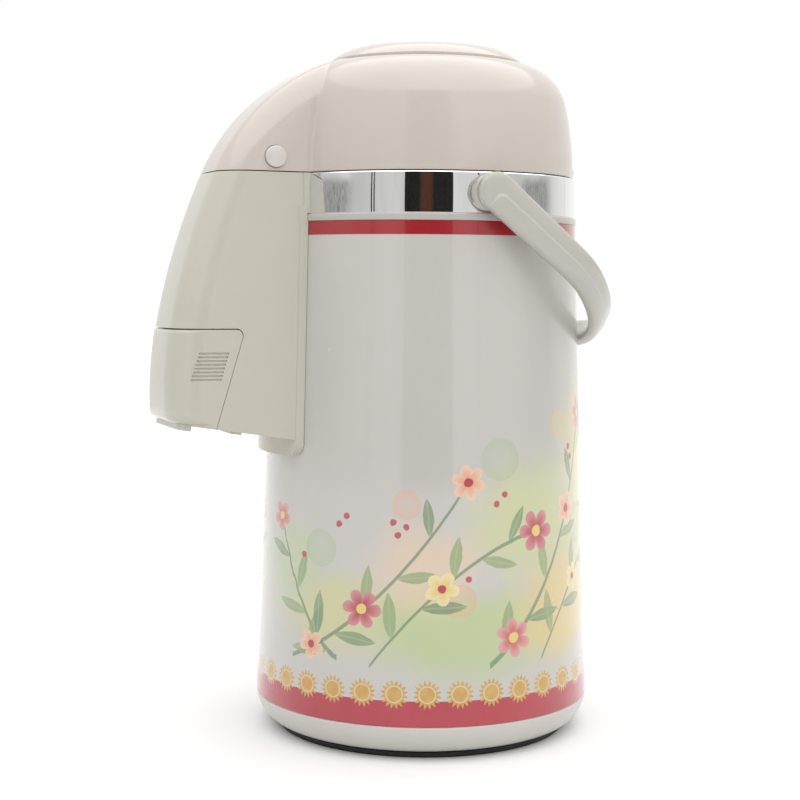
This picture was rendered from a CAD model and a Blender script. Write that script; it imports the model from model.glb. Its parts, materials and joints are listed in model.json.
import json
import math
from itertools import product

import bmesh
import bpy
from mathutils import Matrix, Vector


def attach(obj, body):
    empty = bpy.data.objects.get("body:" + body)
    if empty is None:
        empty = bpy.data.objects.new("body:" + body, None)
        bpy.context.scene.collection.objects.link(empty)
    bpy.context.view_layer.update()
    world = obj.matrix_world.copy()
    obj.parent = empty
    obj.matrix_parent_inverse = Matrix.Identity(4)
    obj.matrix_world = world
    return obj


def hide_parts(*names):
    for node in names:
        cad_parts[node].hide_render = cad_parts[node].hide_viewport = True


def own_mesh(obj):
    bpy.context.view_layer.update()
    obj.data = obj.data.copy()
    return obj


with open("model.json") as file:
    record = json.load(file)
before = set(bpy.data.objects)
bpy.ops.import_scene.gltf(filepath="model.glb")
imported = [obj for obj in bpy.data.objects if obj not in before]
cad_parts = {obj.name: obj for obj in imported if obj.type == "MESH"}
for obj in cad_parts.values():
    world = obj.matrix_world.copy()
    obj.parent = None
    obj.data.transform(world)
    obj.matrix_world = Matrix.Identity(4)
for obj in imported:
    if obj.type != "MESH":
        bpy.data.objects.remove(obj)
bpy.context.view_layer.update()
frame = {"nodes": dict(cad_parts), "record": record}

# Sizes are in millimetres, as in the part's drawing, and a finished mesh is scaled to metres.
MM = 0.001
PAST = 1.0
FAR = 200.0
WELD = 1e-4
SLIVER = 1e-5
SIDES = (-1, 1)

# Heights of the stack, from the floor up
Z_BASE = 3.0
Z_BODY = 17.0
Z_TRIM = 246.0
Z_BAND = 249.3
Z_RIM = 268.1
Z_LID = 268.6

# Body
BODY_FOOT_R = 82.2
BODY_TOP_R = 73.9
BODY_WALL = 0.8
BODY_FOOT_ROUND = 0.55
BODY_TOP_ROUND = 0.3

# Base cover
BASE_EDGE = 12.2
BASE_LIFT = 1.5
BASE_WALL = 2.5
BASE_LIP_ROUND = 0.6
BED_Z = 5.5
SPIGOT_H = 8.0
SPIGOT_ROOT = 4.0
SPIGOT_PLAY = 0.1
SPIGOT_TAPER = 0.3
RING_R = 32.1
RING_WALL = 2.7
RING_H = 10.0
RING_ROUND = 0.4

# Turning foot
FOOT_R = 71.0
FOOT_H = 2.7
FOOT_LOW_ROUND = 0.5
FOOT_TOP_ROUND = 0.8
HUB_R = 9.0
HUB_TOP = 5.8
HUB_ROUND = 0.3
HUB_PLAY = 0.05
SCREW_R = 2.0
SCREW_END = 0.5

# Collar, with the pivots of the handle
TRIM_R = 74.3
TRIM_LOW_ROUND = 0.4
TRIM_TOP_ROUND = 0.7
COLLAR_R = 72.1
COLLAR_IN = 69.6
SKIRT_R = 73.0
SKIRT_H = 8.0
FLOOR_Z = 252.0
DECK_Z = 254.5
DECK_ROUND = 0.8
MOUTH_R = 29.9
MOUTH_ROUND = 0.5
PIPE_SLOT = 6.0
PIPE_SLOT_IN = 2.0
PIPE_SLOT_H = 18.8
PIVOT_Z = 258.7
BOSS_R = 8.4
BOSS_X = 77.9
BOSS_ROOT = 0.5
BOSS_ROUND = 0.7
PIN_R = 3.0
PIN_L = 5.8
PIN_ROUND = 0.4
PIN_PLAY = 0.05

# Hinge behind the lid, with angles in degrees
HINGE_Y = 70.1
HINGE_Z = 272.9
HINGE_R = 4.2
HINGE_PIN = 1.5
HINGE_HALF = 15.5
HINGE_PLAY = 0.3
LUG_START = -85
LUG_END = 148
BARREL_START = -200
KNUCKLE_HALF = 6.975
KNUCKLE_FRONT = 3.6
KNUCKLE_ROOT = 6.0
WEB_BACK = 1.4
WEB_FRONT = 3.4
WEB_TOP = 6.6
WEB_BACK_FOOT = 3.9
WEB_FRONT_FOOT = 2.4
NOTCH_TOP = 0.6

# Bright band
BAND_R = 73.4
BAND_T = 1.2
BAND_LIP = 0.6
BAND_LOW_ROUND = 0.25
BAND_TOP_ROUND = 0.9
BAND_PLAY = 0.1
BAND_GAP = 26.1
BAND_CUT_START = 20.0
BAND_CUT_END = 70.29
BAND_HOLE_START = 50.0
BAND_HOLE_L = 40.0

# Lid, with angles in degrees
LID_R = 72.4
LID_WALL = 2.2
LID_RIM_EDGE = 0.35
SIDE_CENTRE = (-90.4, 268.6)
SIDE_ROUND = 162.8
SIDE_START = 0.15
SIDE_SWEEP = 12.3
DOME_CENTRE = (44.04, 297.91)
DOME_ROUND = 25.2
DOME_END = 81.5
DOME_IN_END = 76
OPENING_R = 47.0
OPENING_Z = 322.9
OPENING_EDGE = ((0.35, 0.1), (0, 0.6))
GUIDE_WALL = 2.2
GUIDE_Z = 302.0

# Beak of the lid
HALF_W = 25.0
CORNER = 15.0
BEAK_CENTRE = (20.647, 229.606)
BEAK_ROUND = 97.4
BEAK_SPREAD = math.radians(27)
BEAK_FAR = 150.0
BEAK_HALVINGS = 32
BLEND_LEAST = 0.3
BLEND_MORE = 5.0
BLEND_TOP = 319
BLEND_DEPTH = 12

# Push plate, with angles in degrees
PLATE_R = 46.8
PLATE_WALL = 2.4
PLATE_ROUND = 25.2
PLATE_RIM = 47.44
PLATE_EDGE_ROUND = 0.35
CROWN = 231.0
CROWN_Z = 101.9
CROWN_TURN = 8.314
EDGE_CENTRE = (29.756, 305.54)
SKIRT_Z = 299.4
STOP_H = 2.0
STOP_W = 2.4
STOP_ROUND = 0.3
SEAT_Z = 313.5
SEAT_IN = 17.0
SEAT_OUT = 35.0
STEM_R = 26.0

# Bellows and return spring under the push plate
PUMP_H = 38.7
BELLOWS_Z = 274.5
BELLOWS_R = 38.0
BELLOWS_FOLD = 6.0
BELLOWS_FOLDS = 5
BELLOWS_T = 1.2
BELLOWS_ROUND = 0.7
COIL_R = 20.0
COIL_WIRE = 1.8
COIL_TURNS = 7
COIL_STEPS = 32
WIRE_SIDES = 10

# Spout housing, with reach measured forward from the pot's axis
FLARE = 3.0
SHELL = 2.2
ROOT = 25.0
HOUSE_CENTRE = (-176.92, 143.29)
HOUSE_ROUND = 313.0
HOUSE_LEVELS = 40
HOUSE_PAST = 12
Z_FOOT = 150.6
Z_UNDER = Z_FOOT - 40
FOOT_REACH = 114.05
FOOT_SLOPE = math.radians(8.5)
APRON_DROP = 13.6
APRON_CORNER = 6.0
APRON_SIDE = 1
APRON_OUT = 3.85
POT_PLAY = 0.25
RIB_REACH = 102.5
RIB_L = 5.3
RIB_H = 1.3
UNDER_HALF = 21.5
CATCH_X = 21.36
CATCH_END = 24
CATCH_Z = 264.1
CATCH_H = 2.0
PIPE_Z = 263.5
PIPE_HOLE = 6.0
SCREW_SIDE = 17.0
SCREW_HOLE = 1.5
HOLE_START = 40
HOLE_L = 60
SOFT_EDGE = 0.35

# Nose, in front of a sloping seam
NOSE_CENTRE = (-65.45, 164.71)
NOSE_ROUND = 200.0
NOSE_LEVELS = 24
NOSE_PAST = 4
Z_NOSE = 196.0
NOSE_EDGE = 1.8
NOSE_FOOT = 4.8
NOSE_FOOT_LIFT = 2.4
NOSE_CORNER = 3.0
EDGE_STEPS = 6
SEAM_REACH = 100.0
SEAM_SLOPE = math.radians(17.2)
SEAM_GAP = 0.8
SEAM_SHARE = 0.3
GROOVES = 8
GROOVE_W = 14.0
GROOVE_H = 0.9
GROOVE_PITCH = 1.7
GROOVE_DEPTH = 0.6
GROOVE_REACH = 114.6
GROOVE_Z = 184.8
GROOVE_START = 20
GROOVE_END = 32
LIP_FRONT = 130.2
LIP_BACK = 124.2
LIP_HALF = 22.5
LIP_CORNER = 4.5
LIP_WALL = 2.0
LIP_H = 2.5
TONGUE_X = 24.7
TONGUE_T = 2.0
TONGUE_L = 8.0
TONGUE_REACH = 107.4
TONGUE_Z = 172.0
TONGUE_H = 10.0
TONGUE_LAP = 0.2
TONGUE_ROOT = 1.4
PIPE_REACH = 106.9
WAY_H = 40
OUTLET_REACH = 116.9
OUTLET_R = 6.8
OUTLET_L = 12

# Release buttons, drawn out along X from the spout's middle
BUTTON_REACH = 84.9
BUTTON_Z = 275.0
BUTTON_R = 5.0
BUTTON_PLAY = 0.25
BUTTON_HOLE_START = 15
BUTTON_HOLE_L = 25
BUTTON_BACK = 20.26
BUTTON_BORE = 3.4
BUTTON_CAP = 27.2
CAP_T = 2
CAP_DROP = 0.5
CAP_ROUND = 0.8
CAP_CROWN_R = 2.5
CAP_CROWN_DROP = 0.05
CAP_CROWN_ROUND = 3.0
FLANGE_R = 6.2
FLANGE_T = 2.0
FLANGE_ROUND = 0.3
LEG_X = 19.06
LEG_T = 2.0
LEG_W = 6.0
LEG_DROP = 12.0
LEG_LAP = 0.6

# Handle, with distance along its strap measured from the pivots
STRAP_X = 82.0
STRAP_T = 7.0
STRAP_W = 17.6
STRAP_SQUARE = 3.3
STRAP_FULL = 0.3
CROWN_W = 14.2
HANDLE_REACH = 105.75
HANDLE_TILT = math.radians(38.7)
CORNER_R = 30.8
CROWN_R = 92.9
CROWN_S = HANDLE_REACH - CROWN_R
CORNER_X = STRAP_X - CORNER_R
CORNER_S = CROWN_S + math.sqrt((CROWN_R - CORNER_R) ** 2 - CORNER_X ** 2)
CORNER_SWEEP = math.atan2(CORNER_S - CROWN_S, CORNER_X)
LEDGE = 0.9
SHOULDER = 0.5
SHOULDER_STEP = 0.02
RAISE_START = 0.6
RAISE_CORNER = 4.0
RAISE_IN = -0.8
RAISE_OUT = 0.6
FINE_STEP = 0.35
FINE_STEPS = 20
FINE_END = 7
LONG_STEPS = 22
CORNER_STEPS = 18
CROWN_STEPS = 24
END_STEPS = 28
MIRROR_SNAP = 0.05
MIRROR_MERGE = 0.01
HANDLE_BORE_START = 70
HANDLE_BORE_L = 14.2


def arc(centre, radius, start, end, steps):
    turns = [math.radians(start + (end - start) * i / steps) for i in range(steps + 1)]
    return [(centre[0] + radius * math.cos(a), centre[1] + radius * math.sin(a)) for a in turns]


def rounded(corners, steps=5):
    """Outline through corners given as (x, y) or (x, y, radius), each turned on its radius."""
    out = []
    for i, corner in enumerate(corners):
        here = Vector(corner[:2])
        radius = corner[2] if len(corner) > 2 else 0
        if not radius:
            out.append(tuple(here))
            continue
        back = (Vector(corners[i - 1][:2]) - here).normalized()
        on = (Vector(corners[(i + 1) % len(corners)][:2]) - here).normalized()
        half = back.angle(on) / 2
        centre = here + (back + on).normalized() * radius / math.sin(half)
        first = here + back * radius / math.tan(half) - centre
        last = here + on * radius / math.tan(half) - centre
        start = math.atan2(first.y, first.x)
        sweep = math.atan2(last.y, last.x) - start
        sweep = (sweep + math.pi) % (2 * math.pi) - math.pi
        for k in range(steps + 1):
            turn = start + sweep * k / steps
            out.append((centre.x + radius * math.cos(turn), centre.y + radius * math.sin(turn)))
    return out


def loop(bm, points):
    """Closed wire through points."""
    verts = [bm.verts.new(p) for p in points]
    edges = [bm.edges.new((verts[i - 1], verts[i])) for i in range(len(verts))]
    return verts, edges


def healed(bm):
    bmesh.ops.remove_doubles(bm, verts=bm.verts, dist=WELD)
    bmesh.ops.dissolve_degenerate(bm, edges=bm.edges, dist=SLIVER)
    bmesh.ops.recalc_face_normals(bm, faces=bm.faces)
    return bm


def spun(bm, geom, angle, steps, **more):
    """Spins geometry about the pot's axis, and gives back its last copy."""
    return bmesh.ops.spin(
        bm, geom=geom, axis=(0, 0, 1), cent=(0, 0, 0), angle=angle, steps=steps, **more)["geom_last"]


def turned(profile, steps=160):
    """Solid of a closed profile of (radius, height) turned about the pot's axis."""
    bm = bmesh.new()
    verts, edges = loop(bm, [(r, 0, z) for r, z in profile])
    spun(bm, verts + edges, 2 * math.pi, steps, use_merge=True)
    return healed(bm)


def moved(bm, matrix):
    bmesh.ops.transform(bm, matrix=matrix, verts=bm.verts)
    if matrix.determinant() < 0:
        bmesh.ops.recalc_face_normals(bm, faces=bm.faces)
    return bm


def along_x(bm, y, z, side=1):
    """Lays a solid turned about Z along X, on a line at (y, z), towards +X or -X."""
    return moved(bm, Matrix.Translation((0, y, z)) @ Matrix.Rotation(side * math.pi / 2, 4, "Y"))


def kept(geom, kind):
    return [g for g in geom if isinstance(g, kind)]


def slab(outline, depth):
    """Solid of a closed outline in X and Y, raised from z = 0."""
    bm = bmesh.new()
    verts, _ = loop(bm, [(x, y, 0) for x, y in outline])
    face = bm.faces.new(verts)
    up = bmesh.ops.extrude_face_region(bm, geom=[face])["geom"]
    bmesh.ops.translate(bm, vec=(0, 0, depth), verts=kept(up, bmesh.types.BMVert))
    bmesh.ops.recalc_face_normals(bm, faces=bm.faces)
    return bm


def swept(rings, closed=True):
    """Skin drawn out through rings of as many points each."""
    bm = bmesh.new()
    mark = bm.verts.layers.int.new("mark")
    verts, edges = loop(bm, rings[0])
    for i, vert in enumerate(verts):
        vert[mark] = i
    if closed:
        bm.faces.new(verts)
    for ring in rings[1:]:
        grown = bmesh.ops.extrude_edge_only(bm, edges=edges)["geom"]
        verts = kept(grown, bmesh.types.BMVert)
        edges = kept(grown, bmesh.types.BMEdge)
        for vert in verts:
            vert.co = ring[vert[mark]]
    if closed:
        bm.faces.new(sorted(verts, key=lambda vert: vert[mark]))
    bmesh.ops.recalc_face_normals(bm, faces=bm.faces)
    return bm


def side_slab(outline, x0, x1):
    """Solid of a closed outline in reach and height, across the spout from x0 to x1."""
    turn = Matrix(((0, 0, 1, x0), (-1, 0, 0, 0), (0, 1, 0, 0), (0, 0, 0, 1)))
    return moved(slab(outline, x1 - x0), turn)


def block(low, high):
    bm = bmesh.new()
    bmesh.ops.create_cube(bm, size=1)
    size = [b - a for a, b in zip(low, high)]
    middle = [(a + b) / 2 for a, b in zip(low, high)]
    return moved(bm, Matrix.Translation(middle) @ Matrix.Diagonal((*size, 1)))


def rod(radius, length, steps=48):
    """Round bar up from z = 0."""
    return turned([(0, 0), (radius, 0), (radius, length), (0, length)], steps)


def side_rods(radius, start, length, y, z):
    """Pair of bars along X, one on each side, on a line at (y, z)."""
    out = Matrix.Translation((0, 0, start))
    return [along_x(moved(rod(radius, length), out), y, z, side) for side in SIDES]


def hinge_rod(radius, half):
    """Bar on the line of the lid's hinge."""
    return moved(along_x(rod(radius, 2 * half), HINGE_Y, HINGE_Z), Matrix.Translation((-half, 0, 0)))


def gathered(*solids):
    """Solids that don't meet, as one mesh."""
    out = bmesh.new()
    for bm in solids:
        mesh = bpy.data.meshes.new("part")
        bm.to_mesh(mesh)
        bm.free()
        out.from_mesh(mesh)
        bpy.data.meshes.remove(mesh)
    return out


def held(bm, name):
    mesh = bpy.data.meshes.new(name)
    bm.to_mesh(mesh)
    bm.free()
    obj = bpy.data.objects.new(name, mesh)
    bpy.context.scene.collection.objects.link(obj)
    return obj


def combined(bm, other, operation):
    """Boolean of two solids."""
    whole, tool = held(bm, "whole"), held(other, "tool")
    step = whole.modifiers.new("step", "BOOLEAN")
    step.operation, step.solver, step.object = operation, "EXACT", tool
    done = whole.evaluated_get(bpy.context.evaluated_depsgraph_get())
    mesh = bpy.data.meshes.new_from_object(done)
    out = bmesh.new()
    out.from_mesh(mesh)
    for obj in (whole, tool):
        old = obj.data
        bpy.data.objects.remove(obj)
        bpy.data.meshes.remove(old)
    bpy.data.meshes.remove(mesh)
    bmesh.ops.remove_doubles(out, verts=out.verts, dist=WELD)
    return out


def cut(bm, tool):
    return combined(bm, tool, "DIFFERENCE")


def joined(bm, other):
    return combined(bm, other, "UNION")


def shared(bm, other):
    return combined(bm, other, "INTERSECT")


def finished(name, bm, body, slot, paint, *nodes, sharp=32, edge=0.0):
    """Finished piece: scaled, shaded, painted, riding on its body."""
    moved(bm, Matrix.Scale(MM, 4))
    obj = held(bm, name)
    mesh = obj.data
    mesh.polygons.foreach_set("use_smooth", [True] * len(mesh.polygons))
    mesh.set_sharp_from_angle(angle=math.radians(sharp))
    mesh.materials.clear()
    mesh.materials.append(paint)
    if edge:
        soft = obj.modifiers.new("soft edges", "BEVEL")
        soft.width, soft.segments, soft.limit_method = edge * MM, 3, "ANGLE"
        soft.angle_limit = math.radians(40)
        soft.harden_normals = True
    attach(obj, body)
    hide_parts(*nodes)
    return obj


class Value:
    """Shader value. Python's operators on it add Math nodes."""

    def __init__(self, sheet, socket):
        self.sheet, self.socket = sheet, socket

    def math(self, operation, *terms):
        inputs = dict(enumerate((self, *terms)))
        return self.sheet.node("ShaderNodeMath", {"operation": operation}, inputs)

    def __add__(self, other):
        return self.math("ADD", other)

    __radd__ = __add__

    def __mul__(self, other):
        return self.math("MULTIPLY", other)

    __rmul__ = __mul__

    def __sub__(self, other):
        return self.math("SUBTRACT", other)

    def __rsub__(self, other):
        return (self * -1) + other

    def __truediv__(self, other):
        return self.math("DIVIDE", other)

    def __pow__(self, other):
        return self.math("POWER", other)

    def __abs__(self):
        return self.math("ABSOLUTE")

    def __lt__(self, other):
        return self.math("LESS_THAN", other)

    def __gt__(self, other):
        return self.math("GREATER_THAN", other)

    def upto(self, other):
        return self.math("MINIMUM", other)

    def atleast(self, other):
        return self.math("MAXIMUM", other)

    def fraction(self):
        return self.math("FRACT")

    def rise(self, low, high):
        """0 below low, 1 above high, smooth between."""
        settings = {"interpolation_type": "SMOOTHSTEP"}
        return self.sheet.node("ShaderNodeMapRange", settings, {0: self, 1: low, 2: high})

    def fall(self, low, high):
        return 1 - self.rise(low, high)


class Sheet:
    """Node sheet of a material or a world, with the shader that it feeds."""

    def __init__(self, owner, shader="Principled BSDF"):
        owner.use_nodes = True
        self.owner = owner
        self.tree = owner.node_tree
        self.shader = self.tree.nodes[shader]

    def node(self, kind, settings=None, inputs=None, output=0):
        made = self.tree.nodes.new(kind)
        for name, value in (settings or {}).items():
            setattr(made, name, value)
        for name, value in (inputs or {}).items():
            self.feed(made.inputs[name], value)
        return Value(self, made.outputs[output])

    def several(self, kind, outputs, inputs=None):
        """Values at several outputs of one node."""
        made = self.node(kind, {}, inputs).socket.node
        return [Value(self, made.outputs[name]) for name in outputs]

    def feed(self, socket, value):
        if isinstance(value, Value):
            self.tree.links.new(value.socket, socket)
        elif isinstance(value, tuple) and len(value) == 3 and socket.type == "RGBA":
            socket.default_value = (*value, 1)
        else:
            socket.default_value = value

    def place(self):
        return self.node("ShaderNodeTexCoord", output="Object")

    def axes(self):
        return self.several("ShaderNodeSeparateXYZ", "XYZ", {0: self.place()})

    def stretched(self, *scale):
        return self.node("ShaderNodeMapping", {}, {"Vector": self.place(), "Scale": scale})

    def looked_at(self):
        """1 for what is seen, also in a reflection or through glass, and 0 for what only gives light."""
        rays = ("Is Camera Ray", "Is Glossy Ray", "Is Transmission Ray")
        plain, glossy, clear = self.several("ShaderNodeLightPath", rays)
        return plain.atleast(glossy).atleast(clear)

    def noise(self, scale, detail=2.0, rough=0.5, vector=None):
        inputs = {"Vector": vector or self.place(), "Scale": scale, "Detail": detail, "Roughness": rough}
        return self.node("ShaderNodeTexNoise", {}, inputs)

    def mix(self, first, second, share):
        return self.node("ShaderNodeMix", {"data_type": "RGBA"}, {0: share, 6: first, 7: second}, output=2)

    def bump(self, height, strength, distance):
        inputs = {"Height": height, "Strength": strength, "Distance": distance}
        return self.node("ShaderNodeBump", {}, inputs)

    def set(self, **inputs):
        for name, value in inputs.items():
            self.feed(self.shader.inputs[name.replace("_", " ").title()], value)
        return self.owner


def new_sheet(name):
    return Sheet(bpy.data.materials.new(name))


def tint(red, green, blue):
    """Linear colour of a display colour."""
    def line(c):
        c /= 255
        return c / 12.92 if c <= 0.04045 else ((c + 0.055) / 1.055) ** 2.4
    return (line(red), line(green), line(blue))


def moulded(name, colour, shade, rough=0.13, grain=0.0):
    """Moulded plastic: faint cloudiness, uneven gloss and a trace of flow in the surface."""
    sheet = new_sheet(name)
    cloud = sheet.noise(18.0, detail=3.0)
    fine = sheet.noise(900.0)
    return sheet.set(
        base_color=sheet.mix(shade, colour, cloud.rise(0.3, 0.7)),
        roughness=rough + (sheet.noise(60.0, detail=3.0) - 0.5) * rough * 0.4,
        normal=sheet.bump(cloud * 0.4 + fine * (0.02 + grain), strength=0.06 + grain, distance=0.001),
    )


def brushed(name, colour, rough):
    sheet = new_sheet(name)
    lines = sheet.noise(1.0, detail=3.0, vector=sheet.stretched(40.0, 40.0, 2500.0))
    return sheet.set(
        base_color=sheet.mix(tuple(c * 0.85 for c in colour), colour, lines),
        roughness=rough + lines * 0.12,
        normal=sheet.bump(lines, strength=0.05, distance=0.0005),
        metallic=1.0,
    )


ivory = moulded("ivory plastic", tint(204, 200, 187), tint(201, 197, 183))
lid_ivory = moulded("ivory lid plastic", tint(210, 200, 191), tint(207, 197, 188))
pale_ivory = moulded("pale ivory plastic", tint(196, 193, 185), tint(193, 190, 181))
button_ivory = moulded("ivory button plastic", tint(221, 213, 207), tint(218, 209, 203))
base_ivory = moulded("ivory base plastic", tint(216, 213, 206), tint(213, 210, 202))
black = moulded("black plastic", tint(22, 22, 23), tint(14, 14, 15), rough=0.5, grain=0.3)
white = moulded("white plastic", tint(233, 231, 225), tint(226, 224, 217), rough=0.35)
rubber = moulded("pale rubber", tint(214, 210, 202), tint(203, 199, 190), rough=0.6, grain=0.4)
steel = brushed("plain steel", (0.62, 0.63, 0.64), rough=0.28)


def mirror_band():
    sheet = new_sheet("polished band")
    smear = sheet.noise(45.0, detail=4.0)
    return sheet.set(
        base_color=sheet.mix((0.80, 0.80, 0.81), (0.88, 0.88, 0.88), smear),
        roughness=0.02 + smear.rise(0.45, 0.8) * 0.05,
        normal=sheet.bump(sheet.noise(30.0, detail=1.0), strength=0.015, distance=0.001),
        metallic=1.0,
    )


def clear_glass():
    sheet = new_sheet("liner glass")
    drawn = sheet.noise(25.0)
    return sheet.set(
        base_color=sheet.mix((0.80, 0.88, 0.90), (0.90, 0.95, 0.95), drawn),
        roughness=0.03 + drawn * 0.03,
        normal=sheet.bump(drawn, strength=0.05, distance=0.001),
        alpha=0.45,
    )


chrome = mirror_band()
glass = clear_glass()


# Painted spray on the body: places are millimetres round from the middle of a side and up from the floor
PICTURE_TURN = math.radians(67.5)
PICTURE_R = 78
CRIMSON = (182, 44, 66)
ROSE = (206, 92, 96)
PEACH = (232, 168, 128)
YELLOW = (232, 204, 116)
LEAF = (138, 160, 104)
MOSS = (104, 134, 96)
MIST = (170, 190, 150)

# Washes: place, half width and half height, colour, strength
WASHES = [
    (-40, 66, 40, 22, (208, 208, 148), 0.8),
    (20, 60, 52, 24, (188, 204, 146), 0.85),
    (78, 70, 40, 32, (226, 202, 132), 0.85),
    (52, 108, 40, 30, (206, 210, 150), 0.75),
    (106, 136, 30, 52, (220, 208, 140), 0.8),
    (0, 90, 30, 22, (234, 204, 172), 0.65),
    (-70, 88, 24, 26, (194, 206, 164), 0.7),
]

# Pale discs: place, radius, colour, strength
DISCS = [
    (-50, 96, 9, MIST, 0.45), (-8, 118, 7, PEACH, 0.4), (36, 138, 10, MIST, 0.4),
    (74, 152, 7, YELLOW, 0.45), (16, 74, 8, PEACH, 0.4), (92, 104, 10, MIST, 0.45),
]

# Stems: both ends, bend, half width. Leaves: share along the stem, side, colour
STEMS = [
    (-66, 44, 20, 128, -50, 0.55), (-24, 44, 56, 104, 50, 0.5), (30, 44, 100, 156, -60, 0.6),
    (58, 44, 116, 96, 40, 0.5), (-40, 46, -78, 108, -40, 0.5),
]
LEAF_PLACES = [(0.12, 1, LEAF), (0.28, -1, MOSS), (0.46, 1, LEAF), (0.62, -1, LEAF), (0.8, 1, MOSS)]
LEAF_LENGTH = 11.5
LEAF_TAPER = 3
LEAF_LEAN = 0.75
LEAF_WIDTH = 0.28

# Flowers: place, radius, petals, turn, colour, colour of the heart
FLOWERS = [
    (-28, 70, 9.5, 6, 0.3, CRIMSON, YELLOW), (20, 128, 8.5, 6, 0.9, PEACH, CRIMSON),
    (56, 104, 10.5, 6, 0.1, CRIMSON, YELLOW), (8, 80, 8.0, 5, 0.5, YELLOW, CRIMSON),
    (100, 156, 9.0, 6, 0.6, ROSE, YELLOW), (42, 56, 9.5, 6, 1.2, ROSE, YELLOW),
    (80, 112, 8.5, 5, 0.2, PEACH, CRIMSON), (-78, 108, 7.5, 5, 0.8, ROSE, YELLOW),
    (116, 96, 8.5, 6, 0.4, CRIMSON, YELLOW), (-54, 51, 7.5, 5, 1.1, PEACH, CRIMSON),
    (86, 79, 7.0, 5, 0.0, YELLOW, CRIMSON),
]
BERRIES = [
    (-12, 104), (-8, 108), (-14, 110), (34, 118), (38, 122), (86, 136),
    (84, 141), (-40, 108), (-36, 112), (98, 112), (20, 84), (-60, 92),
]

# Stripe at the top of the body, and the border of small suns at its foot
STRIPE_Z = 239.5
BORDER_Z = 29.0
INK_EDGE = 0.2
SUNS = 34
SUN_ROW_R = 81.7
SUN_Z = 32
SUN_RAYS = 16
SUN_RAY = 5.0
SUN_TIP = 6.7
SUN_HALO = 4.05
SUN_DISC = 3.5


class Spray:
    """Picture in the making on a sheet, with u round the body and v up it."""

    def __init__(self, sheet, ground, u, v):
        self.sheet, self.paint, self.u, self.v = sheet, ground, u, v
        self.blotch = sheet.noise(34.0, detail=3.0)

    def lay(self, colour, share):
        self.paint = self.sheet.mix(self.paint, colour, share)

    def spot(self, u0, v0):
        """Offsets from a place, and the distance from it."""
        u, v = self.u - u0, self.v - v0
        return u, v, (u * u + v * v).math("SQRT")

    def wash(self, u0, v0, wide, high, colour, strength):
        oval = (((self.u - u0) / wide) ** 2 + ((self.v - v0) / high) ** 2).math("SQRT")
        away = oval + (self.blotch - 0.5) * 0.9
        self.lay(tint(*colour), away.fall(0.35, 1.15) * strength)

    def disc(self, u0, v0, radius, colour, strength):
        away = self.spot(u0, v0)[2]
        ringed = away.rise(radius * 0.2, radius) * 0.5 + 0.5
        self.lay(tint(*colour), away.fall(radius - 0.4, radius) * ringed * strength)

    def stem(self, u0, v0, u1, v1, bend, width):
        share = (self.u - u0) / (u1 - u0)
        line = share * (v1 - v0) + share * (1 - share) * bend + v0
        steep = math.hypot(1, (v1 - v0) / (u1 - u0))
        on = abs(self.v - line).fall(width * steep, (width + 0.4) * steep)
        self.lay(tint(*MOSS), on * (share > 0) * (share < 1) * 0.8)

    def leaf(self, stem, share, side, colour):
        u0, v0, u1, v1, bend, _ = stem
        length = LEAF_LENGTH - share * LEAF_TAPER
        angle = math.atan2(v1 - v0 + (1 - 2 * share) * bend, u1 - u0) + side * LEAF_LEAN
        c, s = math.cos(angle), math.sin(angle)
        foot_u = u0 + share * (u1 - u0)
        foot_v = v0 + share * (v1 - v0) + share * (1 - share) * bend
        u, v, _ = self.spot(foot_u + length * c, foot_v + length * s)
        along, off = (u * c + v * s) / length, abs(v * c - u * s)
        room = (1 - along * along) * (length * LEAF_WIDTH) - off
        vein = off.fall(0.2, 0.5) * 0.35
        blade = self.sheet.mix(tint(*colour), tint(*MIST), vein + (self.blotch - 0.3) * 0.6)
        self.lay(blade, room.rise(-0.1, 0.3) * 0.8)

    def flower(self, u0, v0, radius, petals, start, colour, heart):
        u, v, away = self.spot(u0, v0)
        turn = v.math("ARCTAN2", u) * (petals / 2) + start
        lobe = abs(turn.math("COSINE")) ** 0.6 * 0.5 + 0.5
        reach = away / (lobe * radius)
        pale = tuple(c + (255 - c) * 0.45 for c in colour)
        petal = self.sheet.mix(tint(*colour), tint(*pale), reach.rise(0.25, 1.0) * 0.8)
        self.lay(petal, reach.fall(0.94, 1.0) * 0.92)
        self.lay(tint(*heart), (away / radius).fall(0.22, 0.27))

    def berry(self, u0, v0):
        self.lay(tint(*CRIMSON), self.spot(u0, v0)[2].fall(1.3, 1.7) * 0.9)

    def suns(self, turn, z):
        around = (turn * (SUNS / (2 * math.pi))).fraction() - 0.5
        u, v = around * (SUN_ROW_R * 2 * math.pi / SUNS), z - SUN_Z
        reach = (u * u + v * v).math("SQRT")
        spoke = abs((v.math("ARCTAN2", u) * (SUN_RAYS / (2 * math.pi))).fraction() - 0.5)
        glint = self.sheet.noise(300.0).rise(0.3, 0.7)
        gold = self.sheet.mix(tint(204, 156, 70), tint(212, 170, 90), glint)
        self.lay(gold, (reach + spoke * SUN_RAY).fall(SUN_TIP - INK_EDGE, SUN_TIP + INK_EDGE))
        self.lay(tint(220, 206, 172), reach.fall(SUN_HALO - INK_EDGE / 2, SUN_HALO + INK_EDGE / 2))
        self.lay(gold, reach.fall(SUN_DISC - INK_EDGE / 2, SUN_DISC + INK_EDGE / 2))


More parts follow.
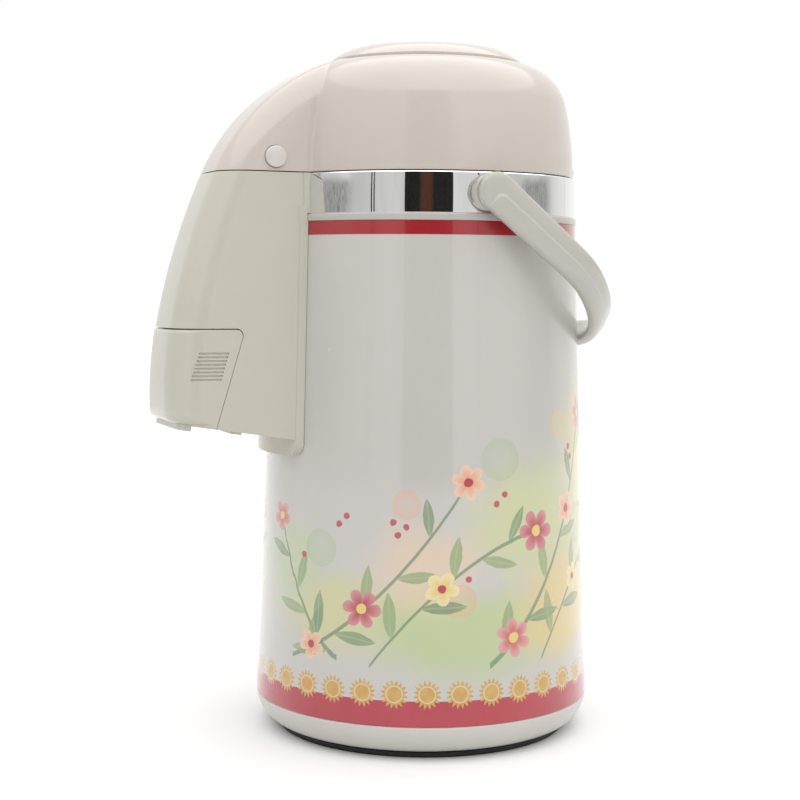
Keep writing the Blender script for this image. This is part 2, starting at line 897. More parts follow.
def printed_body():
    sheet = new_sheet("printed enamel")
    x, y, z = [axis * 1000 for axis in sheet.axes()]
    turn = x.math("ARCTAN2", y * -1)
    enamel = sheet.mix(tint(201, 198, 192), tint(204, 201, 195), sheet.noise(12.0).rise(0.3, 0.7))
    speck = sheet.noise(40.0).rise(0.3, 0.7)
    stripe = sheet.mix(tint(166, 27, 38), tint(172, 32, 44), speck)
    border = sheet.mix(tint(180, 36, 55), tint(187, 42, 62), speck)
    hand = sheet.noise(160.0) - 0.5
    spray = Spray(sheet, enamel, (abs(turn) - PICTURE_TURN) * PICTURE_R + hand * 1.6, z + hand * 1.4)
    for wash in WASHES:
        spray.wash(*wash)
    for disc in DISCS:
        spray.disc(*disc)
    for stem in STEMS:
        spray.stem(*stem)
    for stem, leaf in product(STEMS, LEAF_PLACES):
        spray.leaf(stem, *leaf)
    for flower in FLOWERS:
        spray.flower(*flower)
    for berry in BERRIES:
        spray.berry(*berry)
    spray.lay(stripe, z.rise(STRIPE_Z - INK_EDGE, STRIPE_Z + INK_EDGE))
    spray.lay(border, z.fall(BORDER_Z - INK_EDGE, BORDER_Z + INK_EDGE))
    spray.suns(turn, z)
    return sheet.set(
        base_color=spray.paint,
        roughness=0.26 + (sheet.noise(50.0, detail=3.0) - 0.5) * 0.06,
        normal=sheet.bump(sheet.noise(35.0), strength=0.02, distance=0.001),
        coat_weight=1.0,
        coat_roughness=0.03,
    )


print_paint = printed_body()

SLOT_PAINT = {
    "ivory_plastic": ivory, "black_plastic": black, "printed_metal": print_paint, "polished_band": chrome,
    "steel": steel, "liner_glass": glass, "pale_rubber": rubber, "white_plastic": white,
}


def body_shell():
    profile = rounded([
        (BODY_FOOT_R - BODY_WALL, Z_BODY),
        (BODY_FOOT_R, Z_BODY, BODY_FOOT_ROUND),
        (BODY_TOP_R, Z_TRIM, BODY_TOP_ROUND),
        (BODY_TOP_R - BODY_WALL, Z_TRIM),
    ])
    finished("printed_body", turned(profile, steps=192), "pot", "printed_metal", print_paint, "body_shell")


def base_cover():
    centre = (BODY_FOOT_R - BASE_EDGE, Z_BODY + BASE_LIFT)
    edge_h = centre[1] - Z_BASE
    end = -math.degrees(math.asin(BASE_LIFT / edge_h))
    unit = arc((0, 0), 1, -90, end, steps=24)
    edge = [(centre[0] + BASE_EDGE * c, centre[1] + edge_h * s) for c, s in unit]
    spigot = BODY_FOOT_R - BODY_WALL - SPIGOT_PLAY
    tip = spigot - SPIGOT_TAPER
    ring_out, ring_top = RING_R + RING_WALL, BED_Z + RING_H
    profile = rounded([
        (HUB_R + HUB_PLAY, BED_Z), (HUB_R + HUB_PLAY, Z_BASE),
        *edge[:-1], (*edge[-1], BASE_LIP_ROUND),
        (spigot, Z_BODY), (tip, Z_BODY + SPIGOT_H), (tip - BASE_WALL, Z_BODY + SPIGOT_H),
        (spigot - BASE_WALL, Z_BODY - SPIGOT_ROOT), (centre[0], BED_Z),
        (ring_out, BED_Z), (ring_out, ring_top, RING_ROUND), (RING_R, ring_top, RING_ROUND), (RING_R, BED_Z),
    ], steps=3)
    finished("base_edge", turned(profile, steps=192), "pot", "ivory_plastic", base_ivory, "base_cover")


def swivel_foot():
    profile = rounded([
        (0, 0), (FOOT_R, 0, FOOT_LOW_ROUND), (FOOT_R, FOOT_H, FOOT_TOP_ROUND),
        (HUB_R, FOOT_H), (HUB_R, HUB_TOP, HUB_ROUND),
        (SCREW_R, HUB_TOP), (SCREW_R, SCREW_END), (0, SCREW_END),
    ], steps=4)
    finished("turning_foot", turned(profile, steps=128), "base", "black_plastic", black, "swivel_foot")


def pivot_boss(side):
    profile = rounded([
        (0, COLLAR_IN + BOSS_ROOT), (BOSS_R, COLLAR_IN + BOSS_ROOT), (BOSS_R, BOSS_X, BOSS_ROUND),
        (PIN_R, BOSS_X), (PIN_R, BOSS_X + PIN_L, PIN_ROUND), (0, BOSS_X + PIN_L),
    ], steps=4)
    return along_x(turned(profile, steps=64), 0, PIVOT_Z, side)


def hinge_lug(side):
    back = math.sqrt(COLLAR_R ** 2 - (HINGE_HALF + PAST) ** 2)
    outline = [
        (HINGE_Y - KNUCKLE_FRONT, Z_RIM - KNUCKLE_ROOT), (back, Z_RIM - KNUCKLE_ROOT),
        *arc((HINGE_Y, HINGE_Z), HINGE_R, LUG_START, LUG_END, steps=28),
    ]
    x0, x1 = sorted((side * (KNUCKLE_HALF + HINGE_PLAY), side * HINGE_HALF))
    return side_slab([(-y, z) for y, z in outline], x0, x1)


def collar():
    top = Z_RIM - BAND_LIP
    ring = turned(rounded([
        (COLLAR_IN, Z_TRIM - SKIRT_H), (SKIRT_R, Z_TRIM - SKIRT_H), (SKIRT_R, Z_TRIM),
        (TRIM_R, Z_TRIM, TRIM_LOW_ROUND), (TRIM_R, Z_BAND, TRIM_TOP_ROUND),
        (COLLAR_R, Z_BAND), (COLLAR_R, top), (COLLAR_IN, top),
        (COLLAR_IN, DECK_Z, DECK_ROUND), (MOUTH_R, DECK_Z, MOUTH_ROUND),
        (MOUTH_R, FLOOR_Z), (COLLAR_IN, FLOOR_Z),
    ], steps=4), steps=192)
    for side in SIDES:
        ring = joined(ring, pivot_boss(side))
        ring = joined(ring, hinge_lug(side))
    slot_low = (-PIPE_SLOT, -COLLAR_R - PAST, DECK_Z)
    slot_high = (PIPE_SLOT, -COLLAR_IN + PIPE_SLOT_IN, DECK_Z + PIPE_SLOT_H)
    ring = cut(ring, gathered(block(slot_low, slot_high), hinge_rod(HINGE_PIN, HINGE_HALF + PAST)))
    finished("collar_ring", ring, "pot", "ivory_plastic", pale_ivory, "collar")


def metal_band():
    band = turned(rounded([
        (BAND_R - BAND_T, Z_BAND), (BAND_R, Z_BAND, BAND_LOW_ROUND), (BAND_R, Z_RIM, BAND_TOP_ROUND),
        (COLLAR_IN, Z_RIM), (COLLAR_IN, Z_RIM - BAND_LIP), (BAND_R - BAND_T, Z_RIM - BAND_LIP),
    ], steps=6), steps=256)
    hinge = HINGE_HALF + BAND_PLAY
    front = block((-BAND_GAP, -FAR, Z_BAND - PAST), (BAND_GAP, -BAND_CUT_START, Z_RIM + PAST))
    back = block(
        (-hinge, BAND_CUT_START, Z_RIM - BAND_LIP - BAND_PLAY), (hinge, BAND_CUT_END, Z_RIM + PAST))
    holes = side_rods(BOSS_R + BAND_PLAY, BAND_HOLE_START, BAND_HOLE_L, 0, PIVOT_Z)
    band = cut(band, gathered(front, back, *holes))
    finished("bright_band", band, "pot", "polished_band", chrome, "metal_band")


def beak_holds(x, reach, z, inset):
    """Whether a point lies inside the beak's form, drawn in by an inset."""
    corner = CORNER - inset
    lean = min(max(abs(x) - (HALF_W - CORNER), 0), corner)
    drop = corner - math.sqrt(corner ** 2 - lean ** 2)
    out, up = max(reach - BEAK_CENTRE[0], 0), z - BEAK_CENTRE[1]
    return abs(x) <= HALF_W - inset and out ** 2 + up ** 2 <= (BEAK_ROUND - inset - drop) ** 2


def beak_radius(turn, z, inset):
    """Distance of the beak's skin from the pot's axis, along a ray turned from the front."""
    near, wide = 0.0, BEAK_FAR
    for _ in range(BEAK_HALVINGS):
        middle = (near + wide) / 2
        if beak_holds(middle * math.sin(turn), middle * math.cos(turn), z, inset):
            near = middle
        else:
            wide = middle
    return near


def soft_max(a, b, soft):
    near = max(soft - abs(a - b), 0) / soft
    return max(a, b) + near * near * soft / 4


# Skins of the lid: the guide of the plate stays round, and the other two follow the beak
GUIDE_SKIN = 0
OUTER_SKIN = 1
INNER_SKIN = 2


def lid_profile():
    """Places on the lid's profile, each with its skin."""
    outer = arc(SIDE_CENTRE, SIDE_ROUND, SIDE_START, SIDE_SWEEP, steps=20)
    outer += arc(DOME_CENTRE, DOME_ROUND, SIDE_SWEEP, DOME_END, steps=34)[1:]
    guide = [(OPENING_R + r, OPENING_Z - z) for r, z in OPENING_EDGE]
    guide += [(OPENING_R, GUIDE_Z), (OPENING_R + GUIDE_WALL, GUIDE_Z)]
    inner = arc(DOME_CENTRE, DOME_ROUND - LID_WALL, DOME_IN_END, SIDE_SWEEP, steps=16)
    inner += arc(SIDE_CENTRE, SIDE_ROUND - LID_WALL, SIDE_SWEEP, 0, steps=10)[1:]
    rim = [(LID_R - LID_RIM_EDGE, Z_LID)]
    runs = ((outer, OUTER_SKIN), (guide, GUIDE_SKIN), (inner, INNER_SKIN), (rim, OUTER_SKIN))
    return [(place, skin) for run, skin in runs for place in run]


def drawn_to_beak(vert, inset):
    """Moves a point of the round lid out to the beak, softly where the two meet."""
    turn = math.atan2(vert.co.x, -vert.co.y)
    if abs(turn) > BEAK_SPREAD:
        return
    radius = math.hypot(vert.co.x, vert.co.y)
    far = beak_radius(turn, vert.co.z, inset)
    soft = BLEND_LEAST + BLEND_MORE * min(max((BLEND_TOP - vert.co.z) / BLEND_DEPTH, 0), 1)
    grown = soft_max(radius, far, soft)
    vert.co.x *= grown / radius
    vert.co.y *= grown / radius


def lid_knuckle():
    barrel = [(-y, z) for y, z in arc((HINGE_Y, HINGE_Z), HINGE_R, BARREL_START, 0, steps=28)]
    back, front = -HINGE_Y - WEB_BACK, -HINGE_Y + WEB_FRONT
    web = [
        (back, HINGE_Z + WEB_BACK_FOOT), (back, HINGE_Z + WEB_TOP),
        (front, HINGE_Z + WEB_TOP), (front, HINGE_Z + WEB_FRONT_FOOT),
    ]
    knuckle = side_slab(barrel + web, -KNUCKLE_HALF, KNUCKLE_HALF)
    return cut(knuckle, hinge_rod(HINGE_PIN + PIN_PLAY, HINGE_HALF))


def lid_shell():
    profile = lid_profile()
    bm = bmesh.new()
    skins = bm.verts.layers.int.new("skin")
    c, s = math.cos(BEAK_SPREAD), math.sin(BEAK_SPREAD)
    verts, edges = loop(bm, [(-r * s, -r * c, z) for (r, z), _ in profile])
    for vert, (_, skin) in zip(verts, profile):
        vert[skins] = skin
    front_end = spun(bm, verts + edges, 2 * BEAK_SPREAD, steps=216)
    spun(bm, front_end, 2 * math.pi - 2 * BEAK_SPREAD, steps=122)
    healed(bm)
    for vert in bm.verts:
        if vert[skins] != GUIDE_SKIN:
            drawn_to_beak(vert, 0 if vert[skins] == OUTER_SKIN else LID_WALL)
    notch_half, notch_top = HINGE_HALF + HINGE_PLAY, HINGE_Z + HINGE_R + NOTCH_TOP
    notch = block((-notch_half, HINGE_Y - 2 * HINGE_R, Z_LID - PAST), (notch_half, FAR, notch_top))
    holes = side_rods(BUTTON_R + BUTTON_PLAY, BUTTON_HOLE_START, BUTTON_HOLE_L, -BUTTON_REACH, BUTTON_Z)
    bm = joined(cut(bm, gathered(notch, *holes)), lid_knuckle())
    finished("lid_dome", bm, "lid", "ivory_plastic", lid_ivory, "lid_shell")


def push_plate():
    steep = 90 - CROWN_TURN
    top = arc((0, CROWN_Z), CROWN, 90, steep, steps=14)
    top += arc(EDGE_CENTRE, PLATE_ROUND, steep, PLATE_RIM, steps=20)[1:]
    under_round = PLATE_ROUND - PLATE_WALL
    rim = math.degrees(math.acos((PLATE_R - PLATE_WALL - EDGE_CENTRE[0]) / under_round))

    def under_z(radius):
        return CROWN_Z + math.sqrt((CROWN - PLATE_WALL) ** 2 - radius ** 2)

    seat_top = SEAT_Z + PLATE_WALL
    out = STEM_R + PLATE_WALL
    stop_r, stop_z = PLATE_R + STOP_W, SKIRT_Z + STOP_H
    corners = [
        *top[:-1], (*top[-1], PLATE_EDGE_ROUND),
        (PLATE_R, stop_z), (stop_r, stop_z, STOP_ROUND), (stop_r, SKIRT_Z, STOP_ROUND),
        (PLATE_R - PLATE_WALL, SKIRT_Z), *arc(EDGE_CENTRE, under_round, rim, steep, steps=12),
        (out, under_z(out)), (out, seat_top), (SEAT_OUT, seat_top), (SEAT_OUT, SEAT_Z),
        (SEAT_IN, SEAT_Z), (SEAT_IN, seat_top), (STEM_R, seat_top), (STEM_R, under_z(STEM_R)),
        (0, under_z(0)),
    ]
    plate = turned(rounded(corners, steps=4))
    finished("pump_plate", plate, "pump", "ivory_plastic", lid_ivory, "push_plate")


def pressed(piece):
    """Lets a piece under the push plate give way as the plate goes down."""
    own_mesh(piece)


def bellows():
    rise = PUMP_H / BELLOWS_FOLDS / 2
    last = 2 * BELLOWS_FOLDS
    outer = []
    for i in range(last + 1):
        radius = BELLOWS_R - (0 if i % 2 else BELLOWS_FOLD)
        fold = BELLOWS_ROUND if 0 < i < last else 0
        outer.append((radius, BELLOWS_Z + i * rise, fold))
    inner = [(r - BELLOWS_T, z, fold) for r, z, fold in reversed(outer)]
    skin = turned(rounded(outer + inner, steps=3), steps=96)
    pressed(finished("folded_bellows", skin, "lid", "pale_rubber", rubber, "bellows", sharp=60))


def return_spring():
    steps, wire = COIL_TURNS * COIL_STEPS, COIL_WIRE / 2
    turns = [2 * math.pi * k / WIRE_SIDES for k in range(WIRE_SIDES)]
    section = [(wire * math.cos(a), wire * math.sin(a)) for a in turns]
    rings = []
    for i in range(steps + 1):
        turn = 2 * math.pi * i / COIL_STEPS
        z = BELLOWS_Z + wire + i * (PUMP_H - COIL_WIRE) / steps
        c, s = math.cos(turn), math.sin(turn)
        rings.append([((COIL_R + r) * c, (COIL_R + r) * s, z + up) for r, up in section])
    pressed(finished("return_spring", swept(rings), "lid", "steel", steel, "push_spring", sharp=60))


def front_reach(centre, radius, z):
    return centre[0] + math.sqrt(radius ** 2 - (z - centre[1]) ** 2)


def half_width(z):
    return HALF_W + FLARE * (Z_LID - z) / (Z_LID - Z_FOOT)


def plan(reach, half_w, corner):
    """Plan of the spout at a level: rounded front corners, square at its root."""
    right = arc((half_w - corner, reach - corner), corner, 0, 90, steps=14)
    left = arc((corner - half_w, reach - corner), corner, 90, 180, steps=14)
    return [(half_w, ROOT)] + right + left + [(-half_w, ROOT)]


def stacked(levels):
    """Solid through levels of (height, reach, half width, corner), lowest first."""
    return swept([[(x, -u, level[0]) for x, u in plan(*level[1:])] for level in levels])


def on_underside(bm, lift):
    """Cuts a solid off at the spout's sloping underside, raised by a lift."""
    slope = Vector((0, -math.sin(FOOT_SLOPE), -math.cos(FOOT_SLOPE)))
    seat = Vector((0, -FOOT_REACH, Z_FOOT)) - slope * lift
    geom = list(bm.verts) + list(bm.edges) + list(bm.faces)
    made = bmesh.ops.bisect_plane(
        bm, geom=geom, dist=SLIVER, plane_co=seat, plane_no=slope, clear_outer=True)["geom_cut"]
    bmesh.ops.edgeloop_fill(bm, edges=kept(made, bmesh.types.BMEdge))
    bmesh.ops.recalc_face_normals(bm, faces=bm.faces)
    return bm


def underside():
    """Place on the spout's sloping underside for what is drawn about z = 0."""
    slope = Matrix.Rotation(-FOOT_SLOPE, 4, "X")
    return Matrix.Translation((0, -FOOT_REACH, Z_FOOT)) @ slope @ Matrix.Translation((0, FOOT_REACH, 0))


def sided(side, low, high):
    """Corners of a block on the +X side, or mirrored to the other."""
    if side > 0:
        return low, high
    return (-high[0], *low[1:]), (-low[0], *high[1:])


def house_form(inset, top):
    low = Z_FOOT - HOUSE_PAST
    levels = []
    for i in range(HOUSE_LEVELS + 1):
        z = low + (top - low) * i / HOUSE_LEVELS
        reach = front_reach(HOUSE_CENTRE, HOUSE_ROUND, z) - inset
        levels.append((z, reach, half_width(z) - inset, CORNER - inset))
    return on_underside(stacked(levels), inset)


def nose_wedge(gap):
    """Block that holds the nose's place in side view, grown by a gap."""
    slope = SEAM_SLOPE
    top = Z_NOSE + 2 * gap
    back = SEAM_REACH - gap / math.cos(slope) - (top - Z_NOSE) * math.tan(slope)
    round_r = NOSE_CORNER + gap
    centre = (back + round_r * (math.tan(slope) + 1 / math.cos(slope)), top - round_r)
    outline = arc(centre, round_r, 180 + math.degrees(slope), 90, steps=8)
    outline += [(FAR, top), (FAR, Z_UNDER), (back + (top - Z_UNDER) * math.tan(slope), Z_UNDER)]
    return side_slab(outline, -FAR / 2, FAR / 2)


def body_r(z):
    return BODY_FOOT_R + (BODY_TOP_R - BODY_FOOT_R) * (z - Z_BODY) / (Z_TRIM - Z_BODY)


def pot_core(gap):
    """Solid of the pot behind the spout, grown by a gap."""
    trim, wall, top = TRIM_R + gap, COLLAR_R + gap, Z_LID + PAST
    return turned([
        (0, Z_UNDER), (body_r(Z_UNDER) + gap, Z_UNDER), (body_r(Z_TRIM) + gap, Z_TRIM), (trim, Z_TRIM),
        (trim, Z_BAND + gap), (wall, Z_BAND + gap), (wall, top), (0, top),
    ], steps=256)


def spout_apron():
    """Flange that lies on the pot round the root of the spout."""
    low = Z_FOOT - APRON_DROP
    half, foot = HALF_W + APRON_SIDE, HALF_W + APRON_SIDE + FLARE
    outline = rounded([
        (foot, low, APRON_CORNER), (half, Z_BAND), (half, Z_RIM),
        (-half, Z_RIM), (-half, Z_BAND), (-foot, low, APRON_CORNER),
    ], steps=8)
    sheet = moved(slab(outline, FAR), Matrix.Rotation(math.pi / 2, 4, "X"))
    return shared(sheet, pot_core(APRON_OUT))


def spout_housing():
    shell = cut(house_form(0, Z_RIM), house_form(SHELL, Z_RIM + PAST))
    shell = cut(joined(shell, spout_apron()), pot_core(POT_PLAY))
    rib = block(
        (-UNDER_HALF, -RIB_REACH - RIB_L / 2, -RIB_H), (UNDER_HALF, -RIB_REACH + RIB_L / 2, SHELL / 2))
    catch_low = (CATCH_X, -BUTTON_REACH - LEG_W / 2, CATCH_Z)
    catch_high = (CATCH_END, -BUTTON_REACH + LEG_W / 2, CATCH_Z + CATCH_H)
    catches = [block(*sided(side, catch_low, catch_high)) for side in SIDES]
    shell = joined(shell, gathered(moved(rib, underside()), *catches))
    forward = Matrix.Rotation(math.pi / 2, 4, "X")
    bores = [(PIPE_HOLE, 0, PIPE_Z), (SCREW_HOLE, SCREW_SIDE, PIVOT_Z), (SCREW_HOLE, -SCREW_SIDE, PIVOT_Z)]
    holes = [moved(rod(r, HOLE_L), Matrix.Translation((x, -HOLE_START, z)) @ forward) for r, x, z in bores]
    shell = cut(shell, nose_wedge(SEAM_GAP * SEAM_SHARE))
    shell = cut(shell, gathered(*holes))
    finished("spout_house", shell, "pot", "ivory_plastic", ivory, "spout_housing", edge=SOFT_EDGE)


def nose_form(inset):
    """Form of the nose drawn in by an inset: round at its foot, bowed in front, with a soft top edge."""
    levels = []

    def level(z, front_z, tuck):
        reach = front_reach(NOSE_CENTRE, NOSE_ROUND, front_z) - inset - tuck
        levels.append((z, reach, half_width(z) - inset, CORNER - inset))

    foot_z = Z_FOOT + NOSE_FOOT_LIFT + NOSE_FOOT
    foot_round = NOSE_FOOT - inset
    edge = NOSE_EDGE - inset * 0.5
    shelf = Z_NOSE - inset - edge
    quarter = [math.radians(90 * i / EDGE_STEPS) for i in range(EDGE_STEPS + 1)]
    for turn in quarter:
        level(foot_z - foot_round * math.cos(turn), foot_z, foot_round * (1 - math.sin(turn)))
    for i in range(1, NOSE_LEVELS + 1):
        z = foot_z + (shelf - foot_z) * i / NOSE_LEVELS
        level(z, z, 0)
    for turn in quarter[1:]:
        z = shelf + edge * math.sin(turn)
        level(z, z, edge * (1 - math.cos(turn)))
    low = Z_FOOT - NOSE_PAST
    levels.insert(0, (low, levels[0][1], half_width(low) - inset, CORNER - inset))
    return on_underside(stacked(levels), inset)


def lip_slab(wall, depth):
    """Solid of the lip's plan, drawn in by a wall."""
    outline = plan(LIP_FRONT - wall, LIP_HALF - wall, LIP_CORNER - wall)
    return slab([(x, -u) for x, u in outline], depth)


def nose_lip():
    """Rim in front of the outlet, under the nose."""
    below = Matrix.Translation((0, 0, -LIP_H))
    lip = cut(lip_slab(0, LIP_H + SHELL / 2), moved(lip_slab(LIP_WALL, 3 * LIP_H), below))
    lip = cut(lip, block((-FAR, -LIP_BACK, -LIP_H), (FAR, FAR, 2 * LIP_H)))
    return moved(lip, underside() @ below)


def nose_tongue(side):
    low, high = -TONGUE_REACH - TONGUE_L, -TONGUE_REACH + TONGUE_L
    top = TONGUE_Z + TONGUE_H
    tongue = block(*sided(side, (TONGUE_X - TONGUE_T, low, TONGUE_Z), (TONGUE_X, high, top)))
    root_low = (TONGUE_X - TONGUE_LAP, low, TONGUE_Z)
    root_high = (TONGUE_X + TONGUE_ROOT, -TONGUE_REACH - SEAM_GAP, top)
    return joined(tongue, block(*sided(side, root_low, root_high)))


def grip_grooves():
    """Rows cut into both cheeks of the nose, along its seam."""
    rows = []
    for i, side in product(range(GROOVES), SIDES):
        z = GROOVE_Z - i * GROOVE_PITCH
        y = -GROOVE_REACH - GROOVE_W / 2 - i * GROOVE_PITCH * math.tan(SEAM_SLOPE)
        rows.append(block(*sided(side, (GROOVE_START, y, z), (GROOVE_END, y + GROOVE_W, z + GROOVE_H))))
    return cut(gathered(*rows), nose_form(GROOVE_DEPTH))


def spout_cover():
    shell = cut(nose_form(0), nose_form(SHELL))
    shell = shared(shell, nose_wedge(0))
    shell = joined(shell, nose_lip())
    for side in SIDES:
        shell = joined(shell, nose_tongue(side))
    round_end = arc((0, -PIPE_REACH), PIPE_HOLE, 180, 360, steps=24)
    way = slab(round_end + [(PIPE_HOLE, -ROOT), (-PIPE_HOLE, -ROOT)], WAY_H)
    moved(way, Matrix.Translation((0, 0, Z_NOSE - 2 * SHELL)))
    outlet = rod(OUTLET_R, OUTLET_L, steps=64)
    moved(outlet, Matrix.Translation((0, -OUTLET_REACH, Z_FOOT - NOSE_PAST)))
    shell = cut(shell, gathered(way, outlet))
    shell = cut(shell, grip_grooves())
    finished("pull_nose", shell, "nose", "ivory_plastic", ivory, "spout_cover", edge=SOFT_EDGE)


def release_button(side, word):
    flange = BUTTON_BACK + FLANGE_T
    profile = rounded([
        (BUTTON_BORE, BUTTON_BACK), (FLANGE_R, BUTTON_BACK, FLANGE_ROUND), (FLANGE_R, flange, FLANGE_ROUND),
        (BUTTON_R, flange), (BUTTON_R, BUTTON_CAP - CAP_DROP, CAP_ROUND),
        (CAP_CROWN_R, BUTTON_CAP - CAP_CROWN_DROP, CAP_CROWN_ROUND), (0, BUTTON_CAP),
        (0, BUTTON_CAP - CAP_T), (BUTTON_BORE, BUTTON_CAP - CAP_T),
    ])
    bm = along_x(turned(profile, steps=64), -BUTTON_REACH, BUTTON_Z, side)
    leg_low = (LEG_X, -BUTTON_REACH - LEG_W / 2, BUTTON_Z - LEG_DROP)
    leg_high = (LEG_X + LEG_T, -BUTTON_REACH + LEG_W / 2, BUTTON_Z - BUTTON_BORE - LEG_LAP)
    bm = joined(bm, block(*sided(side, leg_low, leg_high)))
    name = "button_" + word
    finished(name, bm, name, "ivory_plastic", button_ivory, "release_" + name)


def smooth_step(low, high, value):
    share = min(max((value - low) / (high - low), 0), 1)
    return share * share * (3 - 2 * share)


def strap_raise(s, v):
    """How far the lower half of the strap's outer face is raised at a place along and across it."""
    ds, dv = RAISE_START + RAISE_CORNER - s, v - SHOULDER + RAISE_CORNER
    if ds > 0 and dv > 0:
        away = math.hypot(ds, dv) - RAISE_CORNER
    else:
        away = max(v - SHOULDER, RAISE_START - s)
    return 1 - smooth_step(RAISE_IN, RAISE_OUT, away)


def strap_fullness(part):
    """Thickness of the strap, as a share, at a place across it from -1 to 1."""
    return max(1 - abs(part) ** STRAP_SQUARE, 0) ** STRAP_FULL


def strap_ring(x, y, turn, s):
    """Ring of points round the strap at a place on its middle line."""
    half_t = STRAP_T / 2
    half_w = (STRAP_W + (CROWN_W - STRAP_W) * y / HANDLE_REACH) / 2
    across = [math.sin(math.radians(a)) for a in range(-90, 91, 5)]
    across += [SHOULDER / half_w + SHOULDER_STEP * k for k in range(-8, 9)]
    ring = []
    for part in sorted(across):
        face = half_t - LEDGE * (1 - strap_raise(s, part * half_w))
        ring.append((face * strap_fullness(part), part * half_w))
    for a in range(80, -90, -10):
        part = math.sin(math.radians(a))
        ring.append((-half_t * strap_fullness(part), part * half_w))
    return [(x + out * math.cos(turn), y + out * math.sin(turn), up) for out, up in ring]


def strap_line():
    """Stops along half of the strap, as (x, y, turn, distance)."""
    stops = [FINE_STEP * i for i in range(FINE_STEPS)]
    stops += [FINE_END + (CORNER_S - FINE_END) * i / LONG_STEPS for i in range(LONG_STEPS)]
    line = [(STRAP_X, s, 0.0, s) for s in stops]
    for i in range(CORNER_STEPS + 1):
        a = CORNER_SWEEP * i / CORNER_STEPS
        line.append((CORNER_X + CORNER_R * math.cos(a), CORNER_S + CORNER_R * math.sin(a), a, FAR))
    for i in range(1, CROWN_STEPS + 1):
        a = CORNER_SWEEP + (math.pi / 2 - CORNER_SWEEP) * i / CROWN_STEPS
        line.append((CROWN_R * math.cos(a), CROWN_S + CROWN_R * math.sin(a), a, FAR))
    return line


def handle():
    bm = swept([strap_ring(*stop) for stop in strap_line()], closed=False)
    start = [v for v in bm.verts if abs(v.co.y) < WELD and v.co.z > -WELD]
    arch = [e for e in bm.edges if all(v in start for v in e.verts) and len(e.link_faces) == 1]
    bmesh.ops.spin(
        bm, geom=start + arch, axis=(1, 0, 0), cent=(STRAP_X, 0, 0), angle=math.pi, steps=END_STEPS)
    healed(bm)
    for vert in bm.verts:
        if abs(vert.co.x) < MIRROR_SNAP:
            vert.co.x = 0
    whole = list(bm.verts) + list(bm.edges) + list(bm.faces)
    bmesh.ops.mirror(bm, geom=whole, axis="X", merge_dist=MIRROR_MERGE)
    healed(bm)
    moved(bm, Matrix.Translation((0, 0, PIVOT_Z)) @ Matrix.Rotation(-HANDLE_TILT, 4, "X"))
    bores = side_rods(PIN_R + PIN_PLAY, HANDLE_BORE_START, HANDLE_BORE_L, 0, PIVOT_Z)
    finished("swing_handle", cut(bm, gathered(*bores)), "handle", "ivory_plastic", pale_ivory, "handle")


# Camera and studio, in metres
FOCAL_PX = 1615.8
FRAME_PX = 800
SENSOR = 36.0
CAMERA_REACH = 0.800
CAMERA_SIDE = -0.01132
CAMERA_HEIGHT = 0.2183
CAMERA_AZIMUTH = math.radians(67.5)
CAMERA_PITCH = math.radians(4.19)
CAMERA_ROLL = math.radians(0.38)
FLOOR_HALF = 6
FLOOR_GIVES = 0.70
FLOOR_SHOWS = 0.93
SKY_GIVES = 0.5
LAMP_POWER = 2.6
LAMP_SPREAD = math.radians(110)
LAMP_TURN = 0.7
LAMP_TILT = math.radians(8)
WALL_R = 1.7
WALL_H = 1.4

# Places on the wall, in degrees round from the camera
DOOR = (-15, 20)
DOOR_WARM = (-3.5, 5)
DOOR_LIT = (7, 20)
PALE_PANEL = (20, 38)
GREY_PANELS = ((-86, -56), (76, 106))
SEAMS = (-39.6, -37.6, 39.0, 130.0, -118.0)


def heading(turn):
    """Level direction at a turn from the front."""
    return Vector((math.sin(turn), -math.cos(turn), 0))


def camera():
    data = bpy.data.cameras.new("camera")
    data.sensor_width = SENSOR
    data.lens = FOCAL_PX * SENSOR / FRAME_PX
    data.clip_start, data.clip_end = 0.01, 20
    eye = bpy.data.objects.new("camera", data)
    bpy.context.scene.collection.objects.link(eye)
    out = heading(CAMERA_AZIMUTH)
    right = heading(CAMERA_AZIMUTH + math.pi / 2)
    place = out * CAMERA_REACH + right * CAMERA_SIDE + Vector((0, 0, CAMERA_HEIGHT))
    look = -out * math.cos(CAMERA_PITCH) - Vector((0, 0, math.sin(CAMERA_PITCH)))
    turn = look.to_track_quat("-Z", "Y").to_matrix().to_4x4()
    eye.matrix_world = Matrix.Translation(place) @ turn @ Matrix.Rotation(CAMERA_ROLL, 4, "Z")
    bpy.context.scene.camera = eye


def studio_floor():
    """Plain floor, paler where it is looked at than where it only throws light back."""
    sheet = new_sheet("floor")
    colour = sheet.mix((FLOOR_GIVES,) * 3, (FLOOR_SHOWS,) * 3, sheet.looked_at())
    return sheet.set(base_color=colour, roughness=0.9)


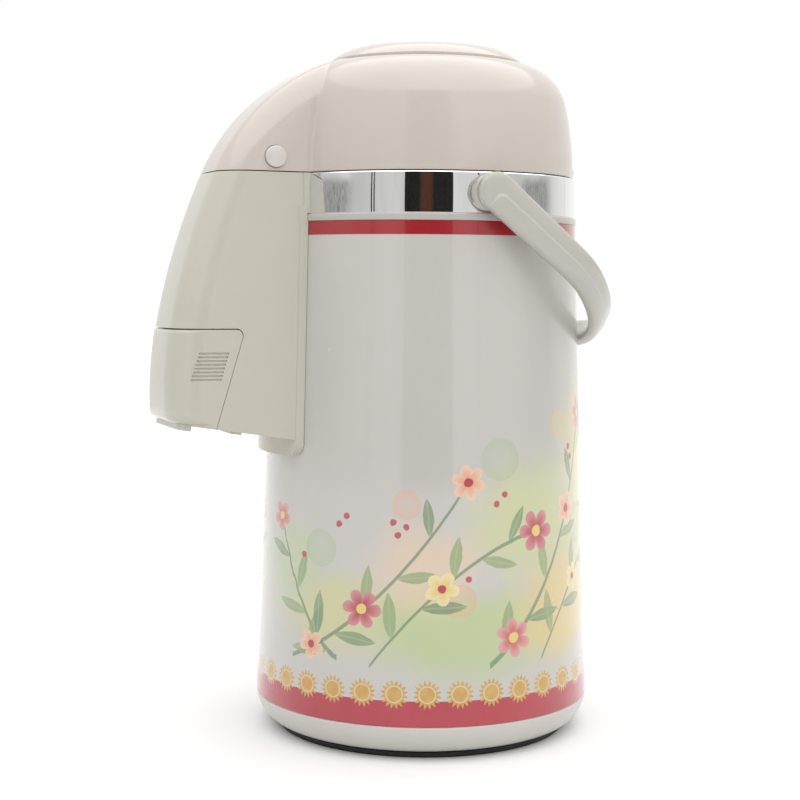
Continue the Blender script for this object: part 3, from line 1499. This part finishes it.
def wall_picture():
    """What the wall shows: pale folds, seams and panels, white above and behind, and a dark doorway."""
    sheet = new_sheet("studio wall")
    x, y, z = sheet.axes()
    c, s = math.cos(CAMERA_AZIMUTH), math.sin(CAMERA_AZIMUTH)
    side = (x * c + y * s).math("ARCTAN2", x * s - y * c) * (180 / math.pi)
    folds = sheet.noise(2.2, detail=3.0, vector=sheet.stretched(1.0, 1.0, 0.15))
    weave = sheet.noise(26.0, detail=4.0, rough=0.7, vector=sheet.stretched(2.0, 2.0, 0.5))

    def span(ends, soft):
        low, high = ends
        return side.rise(low - soft, low + soft) * side.fall(high - soft, high + soft)

    light = folds.rise(0.3, 0.75) * 0.18 + 0.56
    light = light + span(PALE_PANEL, 1.5) * 0.1
    grey = (weave - 0.5) * 0.9 + 0.26
    left, right = [span(ends, 6) for ends in GREY_PANELS]
    patch = (left + right) * z.fall(0.42, 0.55) * 0.8
    light = light * (1 - patch) + grey.atleast(0.08) * patch
    for seam in SEAMS:
        light = light * abs(side - seam).rise(0.3, 0.6)
    white = (abs(side).rise(90, 150) + z.rise(0.6, 1.3) + z.fall(-0.05, 0.12)).upto(1.0)
    light = light * (1 - white) + white
    colour = sheet.node("ShaderNodeCombineColor", {}, {0: light, 1: light, 2: light * 0.98})
    glimmer = weave.rise(0.45, 0.7) * span(DOOR_LIT, 1)
    inside = sheet.mix((0.004, 0.004, 0.003), (0.012, 0.014, 0.01), glimmer)
    inside = sheet.mix(inside, (0.085, 0.024, 0.009), span(DOOR_WARM, 2.0) * (weave * 0.8 + 0.5))
    door = span(DOOR, 0.3) * z.rise(-0.02, 0.06)
    return sheet.set(
        base_color=(0, 0, 0),
        roughness=1.0,
        emission_color=sheet.mix(colour, inside, door),
        emission_strength=1.0,
    )


def studio_wall():
    """Round wall that only shows in reflections."""
    bm = bmesh.new()
    foot, top = bm.verts.new((WALL_R, 0, 0)), bm.verts.new((WALL_R, 0, WALL_H))
    edge = bm.edges.new((foot, top))
    spun(bm, [foot, top, edge], 2 * math.pi, steps=96, use_merge=True)
    obj = held(bm, "studio_wall")
    obj.data.materials.append(wall_picture())
    obj.visible_camera = obj.visible_diffuse = obj.visible_shadow = obj.visible_transmission = False


def soft_sky():
    """White all round where it is looked at, with one wide lamp above."""
    sheet = Sheet(bpy.data.worlds.new("studio"), "Background")
    strength = sheet.looked_at() * (1 - SKY_GIVES) + SKY_GIVES
    bpy.context.scene.world = sheet.set(color=(1, 1, 1), strength=strength)
    lamp = bpy.data.lights.new("soft sky", "SUN")
    lamp.energy, lamp.angle = LAMP_POWER, LAMP_SPREAD
    obj = bpy.data.objects.new("soft sky", lamp)
    bpy.context.scene.collection.objects.link(obj)
    down = Vector((0, 0, math.cos(LAMP_TILT)))
    aim = heading(CAMERA_AZIMUTH + LAMP_TURN) * -math.sin(LAMP_TILT) - down
    obj.rotation_euler = aim.to_track_quat("-Z", "Y").to_euler()


def stage():
    bm = bmesh.new()
    bmesh.ops.create_grid(bm, x_segments=1, y_segments=1, size=FLOOR_HALF)
    floor = held(bm, "floor")
    floor.data.materials.append(studio_floor())
    studio_wall()
    soft_sky()
    bpy.context.scene.view_settings.view_transform = "Standard"


camera()
stage()
for part in frame["record"]["subparts"]:
    node = frame["nodes"][part["node"]]
    node.data.materials.clear()
    node.data.materials.append(SLOT_PAINT[part["material_slot"]])

swivel_foot()
base_cover()
body_shell()
collar()
metal_band()
lid_shell()
push_plate()
bellows()
return_spring()
spout_housing()
spout_cover()
release_button(1, "left")
release_button(-1, "right")
handle()
